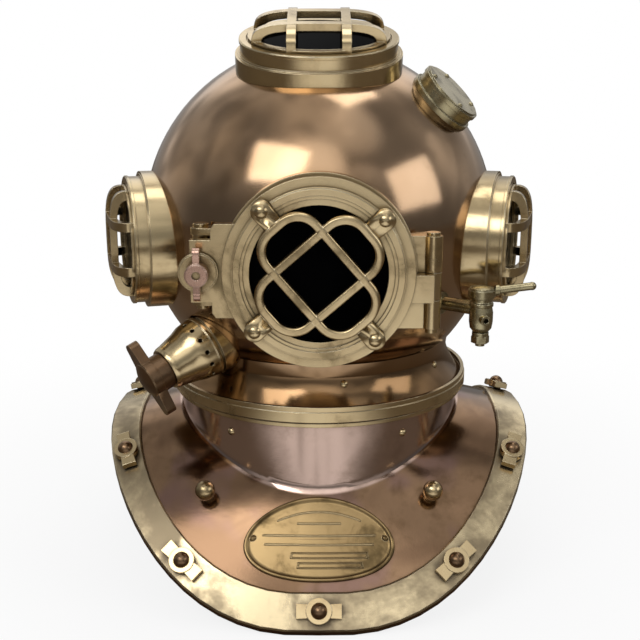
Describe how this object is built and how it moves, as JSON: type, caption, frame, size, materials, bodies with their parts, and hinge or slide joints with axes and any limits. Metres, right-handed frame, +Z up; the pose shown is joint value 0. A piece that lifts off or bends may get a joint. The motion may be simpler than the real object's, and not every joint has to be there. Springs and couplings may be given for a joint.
{
  "type": "diving helmet",
  "caption": "Copper and brass hard-hat diving helmet: turning bonnet on a breastplate, hinged front port with swing bolt, guarded oval ports, exhaust valve and spitcock.",
  "frame": {"origin": "the centre of the underside, on the axis of the neck joint, at the height of the surface that the front and back of the breastplate rest on", "axes": "+Z up along the neck axis, -Y towards the front port, +X to the right as seen from the front"},
  "size_m": [0.3576, 0.3818, 0.4549],
  "materials": {
    "copper_dome": "polished antique copper, brown",
    "copper_plate": "polished antique copper, purple brown",
    "brass": "antique brass, half polished",
    "brass_band": "pale antique brass with dark smudges",
    "name_brass": "dull antique brass",
    "leather": "oiled leather",
    "rubber": "black rubber",
    "dark_glass": "dark glass",
    "dark_bronze": "dark brown bronze",
    "olive_brass": "olive tarnished brass",
    "red_brass": "pinkish copper brass"
  },
  "bodies": {
    "breastplate": {"breastplate": "copper_plate", "breastplate_neck_ring": "brass", "neck_gasket": "leather", "brim_band": "brass_band", "brim_studs": "brass", "brim_nuts": "brass", "name_plate": "name_brass", "name_plate_pins": "name_brass", "ball_studs": "brass", "breastplate_rivets": "brass"},
    "bonnet": {"bonnet_shell": "copper_dome", "bonnet_neck_ring": "brass", "bonnet_rivets": "brass", "front_port_seat": "brass", "hinge_pin": "brass", "swing_bolt_pin": "brass", "top_port_seat": "brass", "top_port_gasket": "rubber", "top_port_glass": "dark_glass", "top_port_ring": "brass", "top_port_guard": "brass", "left_port_seat": "brass", "left_port_gasket": "rubber", "left_port_glass": "dark_glass", "left_port_ring": "brass", "left_port_guard": "brass", "right_port_seat": "brass", "right_port_gasket": "rubber", "right_port_glass": "dark_glass", "right_port_ring": "brass", "right_port_guard": "brass", "telephone_cup": "brass", "telephone_cover": "brass", "air_elbow": "brass", "air_union": "brass", "comms_elbow": "brass", "comms_cap": "brass", "exhaust_seat": "brass", "exhaust_body": "brass", "spitcock_body": "olive_brass", "lock_bracket": "brass", "lock_pin": "brass"},
    "door": {"door_frame": "brass", "door_gasket": "rubber", "door_glass": "dark_glass", "door_ring": "brass", "door_guard": "brass", "door_screws": "brass"},
    "swing_bolt": {"swing_bolt": "brass"},
    "clamp_washer": {"clamp_washer": "brass"},
    "wing_nut": {"wing_nut": "red_brass"},
    "exhaust_handle": {"exhaust_handle": "dark_bronze"},
    "chin_button": {"chin_button": "brass", "exhaust_disc": "leather", "exhaust_spring": "dark_bronze"},
    "spitcock_plug": {"spitcock_plug": "olive_brass", "spitcock_lever": "olive_brass", "spitcock_nut": "olive_brass"},
    "lock_catch": {"lock_catch": "brass"}
  },
  "joints": [
    {"name": "bonnet_turn", "type": "hinge", "parent": "breastplate", "child": "bonnet", "pos_m": [0, 0, 0.15], "axis": [0, 0, 1], "range_deg": [0, 45]},
    {"name": "door_hinge", "type": "hinge", "parent": "bonnet", "child": "door", "pos_m": [0.082, -0.14, 0.2565], "axis": [0, 0, 1], "range_deg": [0, 110]},
    {"name": "swing_bolt_hinge", "type": "hinge", "parent": "bonnet", "child": "swing_bolt", "pos_m": [-0.0855, -0.13, 0.269], "axis": [0, 0, -1], "range_deg": [0, 95]},
    {"name": "clamp_washer_slide", "type": "slide", "parent": "swing_bolt", "child": "clamp_washer", "axis": [0, -1, 0], "range_m": [0, 0.003]},
    {"name": "wing_nut_turn", "type": "hinge", "parent": "clamp_washer", "child": "wing_nut", "pos_m": [-0.0855, -0.155, 0.269], "axis": [0, -1, 0], "range_deg": [0, 720]},
    {"name": "exhaust_handle_turn", "type": "hinge", "parent": "bonnet", "child": "exhaust_handle", "pos_m": [-0.084, -0.082, 0.199], "axis": [-0.7555, -0.5504, -0.3553], "range_deg": [0, 180]},
    {"name": "chin_button_push", "type": "slide", "parent": "bonnet", "child": "chin_button", "axis": [-0.7555, -0.5504, -0.3553], "range_m": [0, 0.004], "stiffness_N_per_m": 400, "springref_m": -0.003},
    {"name": "spitcock_turn", "type": "hinge", "parent": "bonnet", "child": "spitcock_plug", "pos_m": [0.11999, -0.12899, 0.236], "axis": [0, 0, 1], "range_deg": [-45, 45]},
    {"name": "safety_catch_hinge", "type": "hinge", "parent": "bonnet", "child": "lock_catch", "pos_m": [0, 0.13, 0.1669], "axis": [1, 0, 0], "range_deg": [-150, 0]}
  ],
  "couplings": [
    {"joint": "wing_nut_turn", "follows": "clamp_washer_slide", "rad_per_m": 4188.8}
  ]
}
